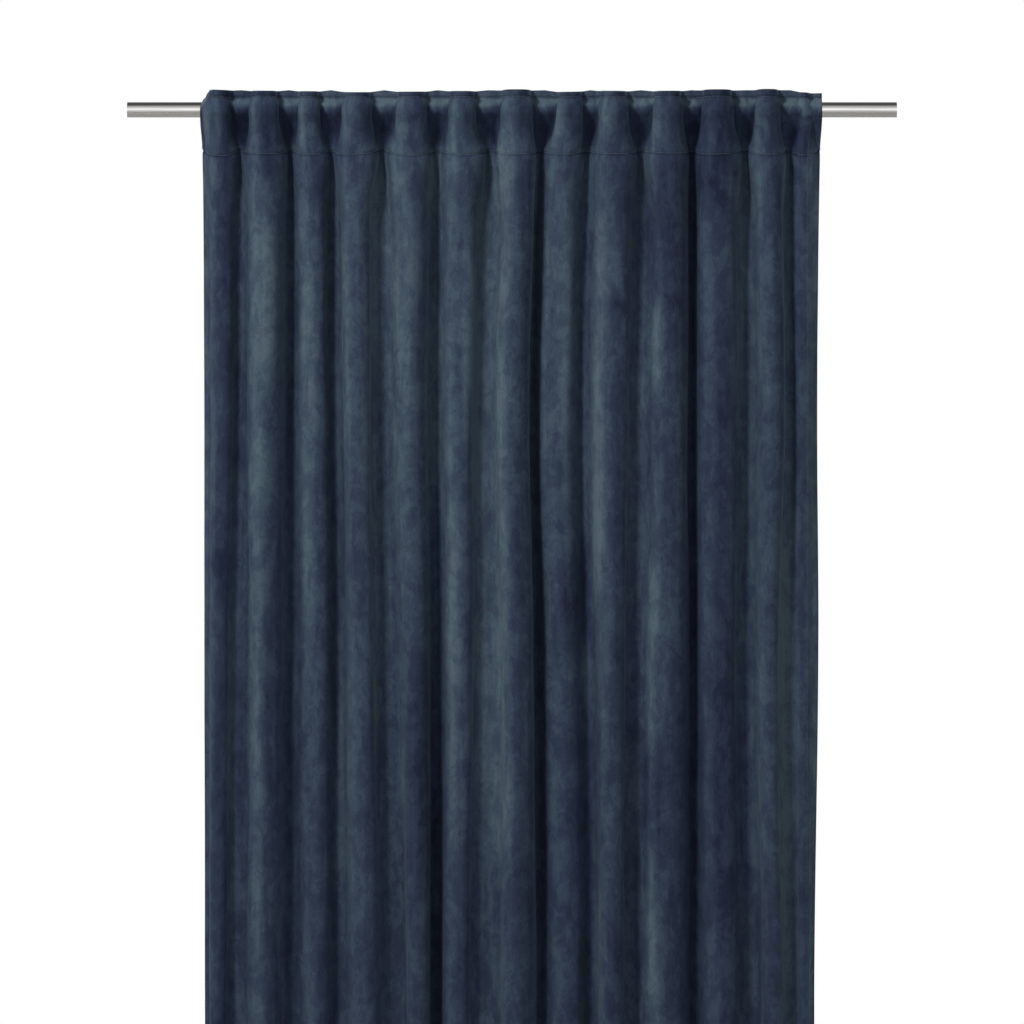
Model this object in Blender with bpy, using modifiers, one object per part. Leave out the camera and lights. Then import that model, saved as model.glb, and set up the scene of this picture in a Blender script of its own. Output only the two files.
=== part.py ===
"""Velvet curtain panel hanging in soft folds from a steel curtain rod.

The panel is one sheet. Twelve hidden tabs are sewn behind its heading, between two rows of
stitching, and the rod runs between the tabs and the cloth. The cloth lies over the front of
the rod at each tab and stands forward in a fold between two tabs.

The origin is the middle of the rod's axis. X runs along the rod, Z is up, and the cloth's
face looks along -Y. A drop is a distance below the rod's axis.
"""
import math
from typing import NamedTuple

import bpy
import numpy as np

MM = 0.001

# Rod
ROD_DIAMETER = 0.022
ROD_LENGTH = 1.100
ROD_SIDES = 32
ROD_RIM = 0.0005

# Cloth, cut 1.4 m wide and 2.4 m long
CLOTH_THICKNESS = 0.002
TOP_EDGE_DROP = -0.028
TOP_STITCH_DROP = -0.018
LOWER_STITCH_DROP = 0.058
HEM_DROP = 2.372

# Back tabs; a seam is the length that lies against the cloth where the tab is sewn to it.
TAB_WIDTH = 0.030
TAB_THICKNESS = 0.0012
TAB_TOP_SEAM = 0.003
TAB_LOW_SEAM = 0.006
TAB_BACK_STEPS = 7
TAB_FOOT_LEAN = 0.1

# Clearance between pieces that touch
TOUCH = 0.0003


class Fold(NamedTuple):
    """A fold and the hollow on its left.

    Millimetres, apart from the lean. The first five values are where the hollow stands along
    the rod at each of HOLLOW_DROPS. hollow is how much cloth lies flat on the rod there, cloth
    is the width of cloth in the fold, lean turns its left side under, set_back is how far the
    hollow lies behind the others below the heading, and rise is how far the top edge rises.
    """

    rod: float
    stitch: float
    upper: float
    middle: float
    lower: float
    hollow: float
    cloth: float
    lean: float
    set_back: float
    rise: float


HOLLOW_DROPS = (10, 65, 450, 740, 1273)
FOLDS = (
    #    rod stitch upper middle lower hollow cloth  lean set_back rise
    Fold(-445, -442, -440, -440, -439, 0, 84, 0.04, -4, -1),
    Fold(-387, -387, -389, -390, -396, 22, 120, 0.05, -9, -3),
    Fold(-319, -316, -317, -316, -317, 26, 94, 0.12, 3, -3),
    Fold(-259, -258, -252, -250, -253, 29, 124, 0.08, 4, -5),
    Fold(-183, -186, -186, -183, -169, 31, 116, 0.02, -7, -4),
    Fold(-106, -108, -109, -107, -111, 27, 112, 0.06, 3, -3),
    Fold(-34, -30, -42, -37, -45, 32, 132, -0.10, -6, -1),
    Fold(47, 42, 35, 41, 40, 32, 100, 0.08, 7, -4),
    Fold(112, 107, 102, 111, 114, 18, 116, 0.08, 4, -3),
    Fold(184, 184, 179, 174, 170, 32, 122, 0.02, -6, -3),
    Fold(257, 257, 258, 260, 260, 23, 126, 0.12, 8, -1),
    Fold(332, 334, 340, 335, 343, 28, 104, 0.08, -4, 0),
    Fold(398, 395, 399, 396, 400, 30, 50, 0.02, -2, -3),
)
RIGHT_EDGE = Fold(443, 440, 436, 438, 432, 0, 0, 0, -14, 0)

# How far the hollows' cloth lies ahead of the rod's axis at a drop, in millimetres. From the
# heading down, the panel swings back until it hangs under the rod.
CLOTH_LINE = ((-28, 12.6), (-18, 12.8), (4, 13.0), (58, 9), (120, 2), (250, -7), (450, -11),
              (2372, -12))

# How far the cloth of a hollow is tucked behind that line: over the top of the rod above it, and
# back under it below, where each hollow is a pocket that closes at the lower row of stitching.
HOLLOW_TUCK = ((-28, 12), (-18, 11.4), (-12.4, 8.4), (-9, 3.6), (-3.5, 0), (3.5, 0), (9, 3.2),
               (20, 8.5), (36, 11), (58, 10), (120, 6), (270, 2), (450, 0), (2372, 0))

# How steeply a tuck ends towards the crests, the cloth that it takes from its fold for each
# length of tuck, and the least cloth in a fold for its width
TUCK_POWER = 1.5
TUCK_TAKES = 1.5
LEAST_FULLNESS = 1.03

# The hollows come to their set-back over this length below the heading.
SET_BACK_LENGTH = 0.200

# How much of a hollow's flat cloth is left at a drop, as a share.
HOLLOW_WIDTH = ((-28, 1.0), (9, 1.0), (36, 0.6), (58, 0.15), (90, 0.0), (2372, 0.0))

# How round the folds' crests are at a drop: 1 is as round as the hollows, less is fuller.
CREST_ROUNDNESS = ((-28, 1.0), (-18, 0.85), (-9, 0.62), (58, 0.66), (150, 0.85), (450, 0.95),
                   (2372, 1.0))

# How much of its lean a fold has at a drop: upright in the heading
LEAN = ((-28, 0.0), (58, 0.2), (200, 1.0), (2372, 1.0))

# The panel's top left corner is drawn in over the rod's front.
CORNER_PULL = 0.014

# Mesh of the cloth: rows of points between its two edges, by drop in millimetres, and steps
# across each fold
INNER_ROWS = (-18, -12.4, -9, -3.5, 3.5, 9, 20, 36, 58, 90, 150, 270, 450, 740, 1100, 1600)
STEPS_IN_FOLD = 12
STEPS_IN_LAST_FOLD = 6

# The search for a fold's steepness, in radians, and the short lengths on each of its sides
STEEPNESS_LIMITS = (0.05, 2.4)
STEEPNESS_HALVINGS = 22
SIDE_SAMPLES = 120

VELVET_COLOUR = (0.028, 0.043, 0.066)
TAB_COLOUR = (0.022, 0.031, 0.046)
STEEL_COLOUR = (0.56, 0.57, 0.58)


def smooth_table(table, drop):
    """Read a two-column table in millimetres at a drop in metres.

    The curve is smooth and never leaves the range between two neighbouring values.
    """
    heights, values = np.array(table, dtype=float).T
    heights = heights * MM
    climbs = np.diff(values) / np.diff(heights)
    level = climbs[1:] * climbs[:-1] <= 0
    together = np.where(level, 1.0, climbs[1:] + climbs[:-1])
    slopes = np.zeros(len(values))
    slopes[1:-1] = np.where(level, 0.0, 2 * climbs[1:] * climbs[:-1] / together)
    place = min(max(np.searchsorted(heights, drop) - 1, 0), len(heights) - 2)
    span = heights[place + 1] - heights[place]
    t = min(max((drop - heights[place]) / span, 0.0), 1.0)
    ease = t * t * (3 - 2 * t)
    start = t * (1 - t) ** 2 * span * slopes[place]
    end = t * t * (1 - t) * span * slopes[place + 1]
    return values[place] * (1 - ease) + values[place + 1] * ease + start - end


def hollow_place(fold, drop):
    """Where a fold's left hollow stands along the rod at a drop, in metres."""
    columns = (fold.rod, fold.stitch, fold.upper, fold.middle, fold.lower)
    return smooth_table(tuple(zip(HOLLOW_DROPS, columns)), drop) * MM


def side_angles(steepness, roundness):
    """Direction of the cloth up one side of a fold, from its hollow to its crest."""
    along = (np.arange(SIDE_SAMPLES) + 0.5) / SIDE_SAMPLES
    return steepness * np.sin(math.pi * along**roundness)


def fold_shape(width, cloth, lean, roundness):
    """A fold of cloth between two hollows that are width apart, as lengths, X and Y.

    The cloth's direction swings out and back on each side, which keeps its length. The search
    finds the steepness at which that length of cloth spans the width.
    """
    low, high = STEEPNESS_LIMITS
    for _ in range(STEEPNESS_HALVINGS):
        steepness = (low + high) / 2
        left = side_angles(steepness * (1 + lean), roundness)
        right = side_angles(steepness * (1 - lean), roundness)
        left_share = np.sin(right).mean() / (np.sin(left).mean() + np.sin(right).mean())
        run = np.cos(left).mean() * left_share + np.cos(right).mean() * (1 - left_share)
        if run * cloth > width:
            low = steepness
        else:
            high = steepness
    direction = np.concatenate((-left, right[::-1]))
    step = np.repeat((left_share, 1 - left_share), SIDE_SAMPLES) * cloth / SIDE_SAMPLES
    lengths = np.concatenate(([0.0], np.cumsum(step)))
    x = np.concatenate(([0.0], np.cumsum(np.cos(direction) * step)))
    y = np.concatenate(([0.0], np.cumsum(np.sin(direction) * step)))
    return lengths, x * width / x[-1], y


def fold_points(fold, following, drop, steps):
    """Points across one fold at a drop, from its left hollow to its right one, as X and Y."""
    left, right = hollow_place(fold, drop), hollow_place(following, drop)
    flat_share = smooth_table(HOLLOW_WIDTH, drop) * MM / 2
    flat_left, flat_right = flat_share * fold.hollow, flat_share * following.hollow
    cloth = fold.cloth * MM
    tuck = smooth_table(HOLLOW_TUCK, drop) * MM
    roundness = smooth_table(CREST_ROUNDNESS, drop)
    width = right - left - flat_left - flat_right
    free = max(cloth - flat_left - flat_right - TUCK_TAKES * tuck, width * LEAST_FULLNESS)
    lean = fold.lean * smooth_table(LEAN, drop)
    lengths, x, y = fold_shape(width, free, lean, roundness)
    across = free + flat_left + flat_right
    lengths = np.concatenate(([0.0], lengths + flat_left, [across]))
    x = np.concatenate(([0.0], x + flat_left, [right - left]))
    y = np.concatenate(([0.0], y, [0.0]))
    wanted = np.linspace(0.0, across, steps + 1)
    x, y = np.interp(wanted, lengths, x), np.interp(wanted, lengths, y)
    in_hollow = (1 - y / y.min()) ** TUCK_POWER
    below_heading = min(max((drop - LOWER_STITCH_DROP) / SET_BACK_LENGTH, 0.0), 1.0)
    set_back = np.interp(wanted, (0.0, across), (fold.set_back, following.set_back))
    y = y - smooth_table(CLOTH_LINE, drop) * MM + set_back * MM * below_heading
    return left + x, y + tuck * in_hollow


def cloth_row(drop):
    """Points across the whole panel at a drop, and how far the top edge rises at each."""
    row = []
    followers = FOLDS[1:] + (RIGHT_EDGE,)
    for fold, following in zip(FOLDS, followers):
        steps = STEPS_IN_LAST_FOLD if following is RIGHT_EDGE else STEPS_IN_FOLD
        x, y = fold_points(fold, following, drop, steps)
        if fold is FOLDS[0] and drop < 0:
            x = x + CORNER_PULL * (drop / TOP_EDGE_DROP) * np.linspace(1.0, 0.0, steps + 1) ** 2
        rise = fold.rise * MM * np.sin(np.linspace(0.0, math.pi, steps + 1))
        first = 0 if not row else 1
        row.extend(zip(x[first:], y[first:], rise[first:]))
    return row


def new_material(name, colour, roughness, metallic=0.0):
    """A Principled material with one colour."""
    material = bpy.data.materials.new(name)
    material.use_nodes = True
    shader = material.node_tree.nodes["Principled BSDF"]
    shader.inputs["Base Color"].default_value = (*colour, 1.0)
    shader.inputs["Roughness"].default_value = roughness
    shader.inputs["Metallic"].default_value = metallic
    material.diffuse_color = (*colour, 1.0)
    return material


def keep(piece, name, material, collection, parent):
    """Name a piece, give it its material and put it in the collection under its parent."""
    piece.name = name
    piece.data.materials.clear()
    piece.data.materials.append(material)
    for other in list(piece.users_collection):
        other.objects.unlink(piece)
    collection.objects.link(piece)
    piece.parent = parent
    return piece


def thicken(piece, thickness):
    """Give an open sheet its thickness, half to each side."""
    solidify = piece.modifiers.new("Thickness", "SOLIDIFY")
    solidify.thickness = thickness
    solidify.offset = 0.0


def build_rod():
    """The round rod, lying along X, with its rims just broken."""
    bpy.ops.mesh.primitive_cylinder_add(
        vertices=ROD_SIDES, radius=ROD_DIAMETER / 2, depth=ROD_LENGTH
    )
    rod = bpy.context.object
    rod.rotation_euler = (0.0, math.pi / 2, 0.0)
    rim = rod.modifiers.new("Rim", "BEVEL")
    rim.width = ROD_RIM
    rim.segments = 1
    rim.limit_method = "ANGLE"
    rim.angle_limit = math.radians(60)
    rod.data.shade_smooth()
    rod.data.set_sharp_from_angle(angle=math.radians(30))
    return rod


def build_panel():
    """The cloth: a grid of points shaped into the folds, row by row, and given its thickness."""
    drops = [TOP_EDGE_DROP, *(drop * MM for drop in INNER_ROWS), HEM_DROP]
    rows = [cloth_row(drop) for drop in drops]
    across, down = len(rows[0]) - 1, len(rows) - 1
    bpy.ops.mesh.primitive_grid_add(x_subdivisions=across, y_subdivisions=down, size=1.0)
    panel = bpy.context.object
    for vertex in panel.data.vertices:
        column = round((vertex.co.x + 0.5) * across)
        row = round((0.5 - vertex.co.y) * down)
        x, y, rise = rows[row][column]
        lift = rise if row == 0 else 0.0
        vertex.co = (x, y, lift - drops[row])
    thicken(panel, CLOTH_THICKNESS)
    panel.data.shade_smooth()
    return panel


def hollow_y(drop):
    """Where the cloth of a hollow lies at a drop, in metres."""
    return (smooth_table(HOLLOW_TUCK, drop) - smooth_table(CLOTH_LINE, drop)) * MM


def tangent_angle(y, z, radius):
    """Angle, about the rod, at which a line from a point first touches the rod's back."""
    distance = math.hypot(y, z)
    reach = math.acos(radius / distance)
    return math.atan2(z, y) - math.copysign(reach, z)


def tab_path():
    """Middle line of a tab: sewn above the rod, round its back and sewn again below it."""
    behind = (CLOTH_THICKNESS + TAB_THICKNESS) / 2 + TOUCH
    top_y = behind + hollow_y(TOP_STITCH_DROP)
    low_y = behind + hollow_y(LOWER_STITCH_DROP)
    top_z, low_z = -TOP_STITCH_DROP, -LOWER_STITCH_DROP
    half_step = math.pi / 4 / TAB_BACK_STEPS
    radius = (ROD_DIAMETER / 2 + TOUCH + TAB_THICKNESS / 2) / math.cos(half_step)
    first = tangent_angle(top_y, top_z, radius)
    last = tangent_angle(low_y, low_z, radius)
    path = [(top_y, top_z + TAB_TOP_SEAM), (top_y, top_z)]
    for step in range(TAB_BACK_STEPS + 1):
        angle = first + (last - first) * step / TAB_BACK_STEPS
        path.append((radius * math.cos(angle), radius * math.sin(angle)))
    path.append((low_y, low_z))
    path.append((low_y + TAB_FOOT_LEAN * TAB_LOW_SEAM, low_z - TAB_LOW_SEAM))
    return path


def build_tab_mesh():
    """One back tab at the middle of the rod."""
    path = tab_path()
    bpy.ops.mesh.primitive_grid_add(x_subdivisions=1, y_subdivisions=len(path) - 1, size=1.0)
    tab = bpy.context.object
    for vertex in tab.data.vertices:
        point = path[round((0.5 - vertex.co.y) * (len(path) - 1))]
        vertex.co = (vertex.co.x * TAB_WIDTH, point[0], point[1])
    tab.data.shade_smooth()
    return tab


def main():
    """Build the rod, the panel and the twelve tabs."""
    for item in list(bpy.data.objects):
        bpy.data.objects.remove(item)
    collection = bpy.data.collections.new("velvet_curtain_on_rod")
    bpy.context.scene.collection.children.link(collection)
    rod_axis = bpy.data.objects.new("rod_axis", None)
    collection.objects.link(rod_axis)

    velvet = new_material("velvet", VELVET_COLOUR, 0.9)
    tab_cloth = new_material("tab_cloth", TAB_COLOUR, 0.95)
    steel = new_material("brushed_steel", STEEL_COLOUR, 0.3, metallic=1.0)

    keep(build_rod(), "curtain_rod", steel, collection, rod_axis)
    keep(build_panel(), "curtain_panel", velvet, collection, rod_axis)

    pattern = build_tab_mesh()
    for number, fold in enumerate(FOLDS[1:], start=1):
        tab = pattern if number == 1 else bpy.data.objects.new("back_tab", pattern.data)
        keep(tab, f"back_tab_{number:02d}", tab_cloth, collection, rod_axis)
        thicken(tab, TAB_THICKNESS)
        tab.location.x = fold.rod * MM


main()
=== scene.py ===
"""Velvet curtain panel on a brushed steel rod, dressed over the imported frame.

The origin is the middle of the rod's axis. X runs along the rod, Z is up, and the cloth's
face looks along -Y. A drop is a distance below the rod's axis.
"""

import logging
import math
from dataclasses import dataclass, field
from enum import Enum
from typing import NamedTuple

import bpy
import numpy as np
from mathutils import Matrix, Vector, noise

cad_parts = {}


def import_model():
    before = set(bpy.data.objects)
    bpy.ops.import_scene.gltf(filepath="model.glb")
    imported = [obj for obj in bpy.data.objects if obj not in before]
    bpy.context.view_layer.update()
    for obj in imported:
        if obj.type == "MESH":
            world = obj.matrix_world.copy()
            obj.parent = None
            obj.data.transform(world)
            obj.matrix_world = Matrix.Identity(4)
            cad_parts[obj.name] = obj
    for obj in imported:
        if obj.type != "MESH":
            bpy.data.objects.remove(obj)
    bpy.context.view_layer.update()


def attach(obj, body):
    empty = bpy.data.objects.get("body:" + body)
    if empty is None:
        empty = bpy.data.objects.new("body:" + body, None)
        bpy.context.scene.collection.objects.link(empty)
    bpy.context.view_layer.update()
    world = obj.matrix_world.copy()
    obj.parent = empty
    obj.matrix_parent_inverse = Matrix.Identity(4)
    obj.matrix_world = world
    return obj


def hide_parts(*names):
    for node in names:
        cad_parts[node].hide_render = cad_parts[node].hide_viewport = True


LOG = logging.getLogger("curtain")
MM = 0.001

FLAT_WIDTH = 1.40
FLAT_LENGTH = 2.40

Table = tuple[tuple[float, float], ...]
Socket = bpy.types.NodeSocket


class Fold(NamedTuple):
    """A fold and the hollow on its left.

    Millimetres, apart from the last five. The first five values are where the hollow stands
    along the rod at each of HOLLOW_DROPS. flat is how much cloth lies flat on the rod there,
    cloth is the width of cloth in the fold, set_back is how far the hollow lies behind the
    others below the heading, and rise is how far the top edge rises. lean turns the fold's
    left side under, and hollow_upper and hollow_lower say how round its hollow is above and
    below: a low value is a tight valley. painted_shade_upper and painted_shade_lower are how
    dark its painted shade is in it, and below zero it is painted pale there.
    """

    rod: float
    stitch: float
    upper: float
    middle: float
    lower: float
    flat: float
    cloth: float
    set_back: float
    rise: float
    lean: float
    hollow_upper: float
    hollow_lower: float
    painted_shade_upper: float
    painted_shade_lower: float


HOLLOW_DROPS = (10, 65, 450, 740, 1273)
FOLDS = tuple(Fold(*numbers) for numbers in (
    #       rod stitch upper middle lower flat cloth back rise  lean  upper lower shade lower
    (-445, -442, -440, -440, -439, 0, 84, -4, -1, 0.04, 0.90, 0.90, 0.6, 0.4),
    (-387, -387, -390, -392, -396, 22, 120, -11, -3, 0.03, 0.75, 1.05, -0.5, -1.1),
    (-319, -316, -317, -316, -315, 26, 94, 3, -3, -0.10, 0.60, 0.70, 0.4, 0.9),
    (-259, -258, -252, -248, -248, 29, 124, 0, -5, -0.02, 0.80, 0.80, -0.2, 0.2),
    (-183, -186, -188, -182, -168, 31, 116, -11, -4, -0.10, 0.95, 1.10, -1.0, -0.4),
    (-106, -108, -110, -108, -111, 27, 112, 3, -3, -0.02, 0.75, 0.80, -1.0, 0.8),
    (-34, -30, -41, -36, -42, 32, 132, -12, -1, -0.10, 0.95, 1.15, -1.0, -0.7),
    (47, 38, 27, 34, 40, 32, 100, 7, -4, -0.06, 0.55, 0.60, -0.3, 1.2),
    (112, 107, 100, 108, 114, 18, 116, 2, -3, -0.10, 0.65, 0.75, 0.2, 0.4),
    (184, 184, 180, 174, 168, 32, 122, -9, -3, -0.12, 0.85, 1.00, -0.5, -0.4),
    (257, 257, 256, 259, 260, 23, 126, 8, -1, -0.02, 0.55, 0.60, 0.7, 1.2),
    (332, 334, 338, 336, 343, 28, 104, -11, 0, -0.08, 0.85, 0.95, -1.2, -0.9),
    (398, 395, 399, 396, 400, 30, 50, -15, -3, 0.0, 0.80, 1.30, -0.9, -1.6),
))
RIGHT_EDGE = Fold(443, 440, 436, 438, 432, 34, 0, -14, 0, 0, 0.90, 1.20, 0.2, -1.0)

# How far the hollows' cloth lies ahead of the rod's axis at a drop, in millimetres
CLOTH_LINE = ((-28, 12.6), (-18, 12.8), (4, 13.0), (58, 9), (120, 2), (250, -7), (450, -11),
              (2372, -12))

# How far the cloth of a hollow is tucked behind that line at a drop, in millimetres
HOLLOW_TUCK = ((-28, 12), (-18, 11.4), (-12.4, 8.4), (-9, 3.6), (-3.5, 0), (3.5, 0), (9, 3.2),
               (20, 8.5), (36, 11), (58, 10), (120, 6), (270, 2), (450, 0), (2372, 0))

# Share of a hollow's flat cloth that is left at a drop
HOLLOW_WIDTH = ((-28, 1.0), (4, 1.0), (25, 0.8), (45, 0.42), (58, 0.12), (74, 0.0), (2372, 0.0))

# How round the folds' crests are in the heading, and how far the hollows' own roundness
# takes over from it at a drop
HEADING_ROUNDNESS = ((-28, 0.62), (-18, 0.54), (-9, 0.50), (58, 0.46), (2372, 0.46))
HOLLOW_TAKES_OVER = ((-28, 0.0), (58, 0.0), (150, 1.0), (2372, 1.0))
HOLLOW_LOWER_SHARE = ((-28, 0.0), (300, 0.0), (900, 1.0), (2372, 1.0))

# How flat the folds' faces are at a drop: 1 is a wave, and more is a box with steep sides
FACE_FLATNESS = ((-28, 1.3), (-18, 1.4), (-9, 1.5), (58, 1.6), (150, 1.4), (450, 1.25),
                 (2372, 1.15))

# How much of its lean a fold has at a drop
LEAN = ((-28, 0.0), (58, 0.2), (200, 1.0), (2372, 1.0))

# How far the cloth sags at the folds' crests at a drop, in millimetres
CREST_SAG = ((-28, 0.0), (-18, 0.7), (9, 2.5), (58, 7.0), (150, 6.0), (450, 2.0), (2372, 0.0))

# Painted light and shade in the hollows at a drop: a painted highlight on the strip and on
# the cloth over the rod, lit from above, painted shade in the pocket under the rod, and
# somewhat paler again lower down
HOLLOW_PAINTED_LIGHT = ((-28, 0.20), (-20, 0.30), (-18, 0.10), (-15.5, 0.42), (-9, 0.50), (-6.5, 0.46),
               (-4, 0.32), (-1.2, 0.10), (1.7, -0.05), (4.6, -0.19), (9, -0.28), (20, -0.27),
               (36, -0.22), (52, -0.08), (80, 0.10), (110, 0.10), (165, 0.0), (2372, 0.0))
# Painted light and shade at the seams, by drop: a little darker along the heading's strip, a
# painted shadow in the top seam's groove, a painted highlight over the lower seam with a painted
# shadow under it, and painted shade that darkens the cloth further down
SEAM_PAINTED_LIGHT = ((-28, -0.08), (-20, -0.10), (-18.5, -0.35), (-17.5, -0.35), (-16, 0.0),
             (53.5, 0.0), (55.5, 0.16), (57, 0.12), (58, -0.16), (60, -0.24), (62.5, 0.0),
             (600, -0.02), (1200, -0.12), (2372, -0.12))

# Painted light across a fold, by share: a painted highlight on its left side, which faces the
# light, painted shade past its middle and a pale rim by its right edge; and how strong it is at a
# drop
FACE_PAINTED_LIGHT = ((0.0, 0.0), (0.15, -0.03), (0.34, 0.13), (0.45, 0.03), (0.57, -0.06), (0.68, -0.02),
             (0.80, 0.08), (0.90, 0.09), (1.0, 0.0))
FACE_PAINTED_LIGHT_STRENGTH = ((-28, 0.7), (0, 1.7), (60, 1.6), (150, 1.1), (450, 1.0), (2372, 1.0))


class Crease(NamedTuple):
    """A soft trough or ridge, from one end to the other as seen from the front, in
    millimetres. height is below zero for a trough."""

    x_start: float
    z_start: float
    x_end: float
    z_end: float
    width: float
    height: float


CREASES = tuple(Crease(*numbers) for numbers in (
    # The overlap down the left of the seventh fold
    (-25, -10, -24, -80, 3.0, -2.4),
    (-24, -80, -13, -104, 3.0, -1.6),
    # The eleventh fold's creases under the heading
    (276, -66, 284, -132, 3.5, -2.2),
    (305, -14, 302, -60, 3.0, 2.2),
    (303, -78, 310, -128, 3.0, 2.4),
    (312, -20, 318, -72, 3.0, -2.2),
    (316, -70, 324, -112, 3.5, -2.0),
    (292, -60, 296, -118, 3.0, 1.6),
    (286, -30, 290, -64, 3.5, 1.6),
    (324, -84, 318, -150, 3.5, 1.8),
    # Short pinches across the folds
    (-86, -196, -60, -189, 4.0, -1.4),
    (-168, -228, -150, -222, 4.0, -1.2),
    (-100, -226, -86, -234, 4.0, -1.2),
    (-392, -630, -370, -624, 6.0, -1.0),
    (118, -552, 134, -562, 5.0, -1.4),
    (-34, -122, -22, -126, 4.0, -1.2),
    # Long soft ridges and troughs down the faces
    (-350, -90, -346, -420, 9.0, 1.6),
    (-352, -520, -350, -1100, 10.0, -1.6),
    (-215, -80, -212, -500, 9.0, -1.6),
    (-146, -160, -148, -700, 10.0, 1.6),
    (-76, -90, -78, -560, 8.0, -1.5),
    (-16, -180, -20, -900, 9.0, 1.8),
    (14, -260, 10, -1250, 8.0, -1.4),
    (76, -100, 78, -720, 9.0, 1.5),
    (124, -130, 122, -720, 7.0, 2.4),
    (152, -240, 150, -980, 9.0, -1.6),
    (200, -640, 201, -1280, 7.0, 2.6),
    (222, -120, 220, -640, 10.0, -1.5),
    (296, -190, 300, -1240, 11.0, -1.6),
    (366, -120, 368, -700, 9.0, 1.4),
    (418, -90, 416, -1200, 9.0, -1.2),
    # Ridges and troughs down the folds' necks, where the heading is drawn together
    (-366, 8, -368, -48, 3.0, 1.4),
    (-353, 6, -350, -50, 3.2, -1.6),
    (-301, 27, -299, -60, 2.8, 1.5),
    (-291, 8, -289, -46, 3.0, -1.6),
    (-229, 10, -231, -50, 3.0, 1.5),
    (-210, 2, -206, -54, 3.4, -1.8),
    (-162, 12, -164, -44, 3.0, 1.2),
    (-147, 6, -145, -57, 3.0, -1.8),
    (-79, 12, -80, -57, 3.2, 1.4),
    (-66, 8, -62, -52, 3.4, -1.6),
    (2, 4, 0, -54, 3.4, 1.6),
    (16, 8, 20, -50, 3.4, -2.0),
    (70, 14, 60, -58, 3.2, 2.2),
    (86, 10, 88, -46, 3.4, -1.8),
    (136, 10, 134, -50, 3.4, 1.2),
    (154, 4, 158, -56, 3.0, -1.6),
    (205, 12, 202, -56, 3.2, 1.0),
    (222, 8, 228, -52, 3.6, -1.8),
    (351, 14, 349, -52, 3.0, 1.4),
    (368, 6, 372, -50, 3.2, -1.4),
    # The left edge, drawn together over the rod
    (-418, 12, -416, -62, 3.4, 2.0),
    (-428, 8, -425, -44, 3.2, -2.2),
    (-437, -2, -432, -58, 3.0, 1.6),
    (-434, 16, -424, 2, 2.4, -1.4),
    (-441, -24, -438, -70, 2.6, -1.2),
    # Small wrinkles in the flap that lies over the rod at the right
    (400, -2, 411, 15, 2.2, -1.8),
    (408, -5, 419, 14, 2.2, 1.8),
    (418, -8, 426, 13, 2.4, -1.8),
    (428, -10, 433, 11, 2.6, 1.4),
    (395, -8, 403, 8, 2.6, 1.4),
    # Wrinkles in the hollows' cloth over the rod, drawn together at the tabs
    (176, 4, 184, 17, 2.2, -1.4),
    (190, 3, 186, 17, 2.2, 1.3),
    (250, 3, 258, 17, 2.2, -1.8),
    (264, 2, 260, 16, 2.2, 1.6),
    (268, 4, 272, 15, 2.0, -1.5),
    (324, 3, 333, 17, 2.2, 1.8),
    (341, 2, 336, 16, 2.2, -1.8),
    (349, 4, 344, 15, 2.0, 1.4),
    (-40, 4, -33, 17, 2.4, -1.2),
    (-112, 4, -106, 16, 2.4, 1.2),
    (-190, 5, -186, 17, 2.4, -1.2),
))


class NapAndShadePatch(NamedTuple):
    """A patch where the pile is made lighter or darker, as seen from the front, in millimetres:
    some where the pile lies another way, and some painted light and shade on crests, hollows
    and lumps. shade is above zero where it looks lighter."""

    x: float
    z: float
    half_width: float
    half_height: float
    shade: float


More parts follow.
